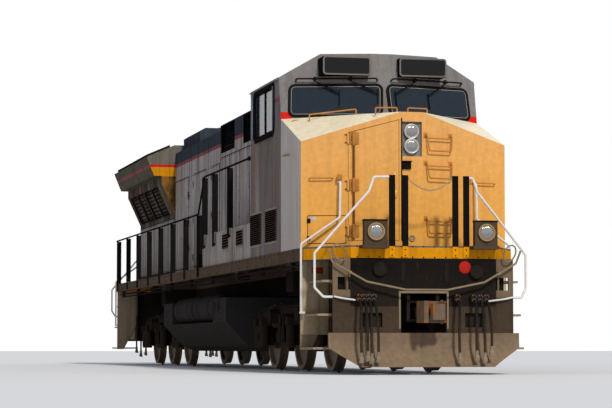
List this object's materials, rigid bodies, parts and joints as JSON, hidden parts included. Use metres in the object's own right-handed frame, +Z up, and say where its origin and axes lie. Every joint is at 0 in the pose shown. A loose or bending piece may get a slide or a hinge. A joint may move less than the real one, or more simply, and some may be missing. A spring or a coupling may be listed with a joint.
{
  "type": "six-axle diesel freight locomotive",
  "caption": "Wide-nose six-axle diesel freight locomotive with hollow cab, hooded body, flared radiator housing, swivelling trucks, turning wheelsets, hinged doors and couplers.",
  "frame": {"origin": "on the floor at the middle of the locomotive, under its centre line", "axes": "+Z up, front towards -Y, +X to the locomotive's left"},
  "size_m": [3.148, 22.3, 4.7998],
  "materials": {
    "nose_yellow": "weathered gloss paint",
    "cab_grey": "weathered gloss paint",
    "side_grey": "soiled paint",
    "sill_paint": "soiled paint",
    "pilot_dust": "dusty paint",
    "black_steel": "matt black paint",
    "rail_white": "gloss paint",
    "tank_grey": "soiled paint",
    "truck_steel": "oily cast steel",
    "wheel_steel": "rolled steel with brown bloom",
    "cast_coupler": "rusty cast steel",
    "hose_rubber": "matt rubber",
    "cab_glass": "tinted glass",
    "lamp_grey": "satin paint",
    "seat_fabric": "woven seat cloth"
  },
  "bodies": {
    "carbody": {"air_hoses_front": "hose_rubber", "air_hoses_rear": "hose_rubber", "air_reservoirs": "tank_grey", "brake_grid_hood": "side_grey", "brake_grid_screens": "black_steel", "cab_fittings": "seat_fabric", "cab_glass": "cab_glass", "cab_shell": "cab_grey", "cut_lever_front": "cast_coupler", "cut_lever_rear": "cast_coupler", "draft_pockets": "truck_steel", "end_platform_front": "pilot_dust", "end_platform_rear": "pilot_dust", "end_rails_front": "rail_white", "end_rails_rear": "rail_white", "engine_block": "truck_steel", "engine_hood": "side_grey", "equipment_boxes": "side_grey", "exhaust_hump": "cab_grey", "front_lamps": "lamp_grey", "fuel_tank": "tank_grey", "glad_hands_front": "cast_coupler", "glad_hands_rear": "cast_coupler", "horn": "black_steel", "louvre_panels": "side_grey", "nose": "nose_yellow", "number_boards": "black_steel", "plow_front": "pilot_dust", "radiator_cores": "black_steel", "radiator_grilles": "black_steel", "radiator_housing": "side_grey", "side_handrails": "black_steel", "underframe": "sill_paint", "window_awnings": "cab_grey"},
    "front_truck": {"axle_boxes_front": "truck_steel", "traction_motors_front": "truck_steel", "truck_frame_front": "truck_steel"},
    "rear_truck": {"axle_boxes_rear": "truck_steel", "traction_motors_rear": "truck_steel", "truck_frame_rear": "truck_steel"},
    "cab_door_left": {"cab_door_left": "cab_grey"},
    "cab_door_right": {"cab_door_right": "cab_grey"},
    "coupler_front": {"coupler_front": "cast_coupler"},
    "coupler_rear": {"coupler_rear": "cast_coupler"},
    "hood_door_left_1": {"hood_door_left_1": "side_grey"},
    "hood_door_left_2": {"hood_door_left_2": "side_grey"},
    "hood_door_right_1": {"hood_door_right_1": "side_grey"},
    "hood_door_right_2": {"hood_door_right_2": "side_grey"},
    "knuckle_front": {"knuckle_front": "cast_coupler"},
    "knuckle_rear": {"knuckle_rear": "cast_coupler"},
    "nose_door": {"nose_door": "nose_yellow"},
    "wheelset_1": {"wheelset_1": "wheel_steel"},
    "wheelset_2": {"wheelset_2": "wheel_steel"},
    "wheelset_3": {"wheelset_3": "wheel_steel"},
    "wheelset_4": {"wheelset_4": "wheel_steel"},
    "wheelset_5": {"wheelset_5": "wheel_steel"},
    "wheelset_6": {"wheelset_6": "wheel_steel"}
  },
  "joints": [
    {"name": "front_truck_swivel", "type": "hinge", "parent": "carbody", "child": "front_truck", "pos_m": [0, -6.31, 1.12], "axis": [0, 0, 1], "range_deg": [-3, 3]},
    {"name": "rear_truck_swivel", "type": "hinge", "parent": "carbody", "child": "rear_truck", "pos_m": [0, 6.31, 1.12], "axis": [0, 0, 1], "range_deg": [-3, 3]},
    {"name": "wheelset_1_spin", "type": "hinge", "parent": "front_truck", "child": "wheelset_1", "pos_m": [0, -8.35, 0.5615], "axis": [1, 0, 0], "continuous": true},
    {"name": "wheelset_2_spin", "type": "hinge", "parent": "front_truck", "child": "wheelset_2", "pos_m": [0, -6.31, 0.5615], "axis": [1, 0, 0], "continuous": true},
    {"name": "wheelset_3_spin", "type": "hinge", "parent": "front_truck", "child": "wheelset_3", "pos_m": [0, -4.27, 0.5615], "axis": [1, 0, 0], "continuous": true},
    {"name": "wheelset_4_spin", "type": "hinge", "parent": "rear_truck", "child": "wheelset_4", "pos_m": [0, 4.27, 0.5615], "axis": [1, 0, 0], "continuous": true},
    {"name": "wheelset_5_spin", "type": "hinge", "parent": "rear_truck", "child": "wheelset_5", "pos_m": [0, 6.31, 0.5615], "axis": [1, 0, 0], "continuous": true},
    {"name": "wheelset_6_spin", "type": "hinge", "parent": "rear_truck", "child": "wheelset_6", "pos_m": [0, 8.35, 0.5615], "axis": [1, 0, 0], "continuous": true},
    {"name": "nose_door_hinge", "type": "hinge", "parent": "carbody", "child": "nose_door", "pos_m": [-0.88686, -9.73756, 2.7], "axis": [0, 0, -1], "range_deg": [0, 90]},
    {"name": "cab_door_right_hinge", "type": "hinge", "parent": "carbody", "child": "cab_door_right", "pos_m": [-1.003, -5.78, 3.4], "axis": [0, 0, -1], "range_deg": [0, 90]},
    {"name": "hood_door_right_1_hinge", "type": "hinge", "parent": "carbody", "child": "hood_door_right_1", "pos_m": [-0.97, 0.903, 2.87], "axis": [0, 0, 1], "range_deg": [0, 90]},
    {"name": "hood_door_right_2_hinge", "type": "hinge", "parent": "carbody", "child": "hood_door_right_2", "pos_m": [-0.97, 2.903, 2.87], "axis": [0, 0, 1], "range_deg": [0, 90]},
    {"name": "cab_door_left_hinge", "type": "hinge", "parent": "carbody", "child": "cab_door_left", "pos_m": [1.003, -5.78, 3.4], "axis": [0, 0, 1], "range_deg": [0, 90]},
    {"name": "hood_door_left_1_hinge", "type": "hinge", "parent": "carbody", "child": "hood_door_left_1", "pos_m": [0.97, 0.903, 2.87], "axis": [0, 0, -1], "range_deg": [0, 90]},
    {"name": "hood_door_left_2_hinge", "type": "hinge", "parent": "carbody", "child": "hood_door_left_2", "pos_m": [0.97, 2.903, 2.87], "axis": [0, 0, -1], "range_deg": [0, 90]},
    {"name": "front_coupler_swing", "type": "hinge", "parent": "carbody", "child": "coupler_front", "pos_m": [0, -9.9, 0.868], "axis": [0, 0, 1], "range_deg": [-7, 7]},
    {"name": "front_knuckle_pin", "type": "hinge", "parent": "coupler_front", "child": "knuckle_front", "pos_m": [0.15, -10.95, 0.868], "axis": [0, 0, 1], "range_deg": [0, 45]},
    {"name": "rear_coupler_swing", "type": "hinge", "parent": "carbody", "child": "coupler_rear", "pos_m": [0, 9.9, 0.868], "axis": [0, 0, 1], "range_deg": [-7, 7]},
    {"name": "rear_knuckle_pin", "type": "hinge", "parent": "coupler_rear", "child": "knuckle_rear", "pos_m": [-0.15, 10.95, 0.868], "axis": [0, 0, 1], "range_deg": [0, 45]}
  ]
}
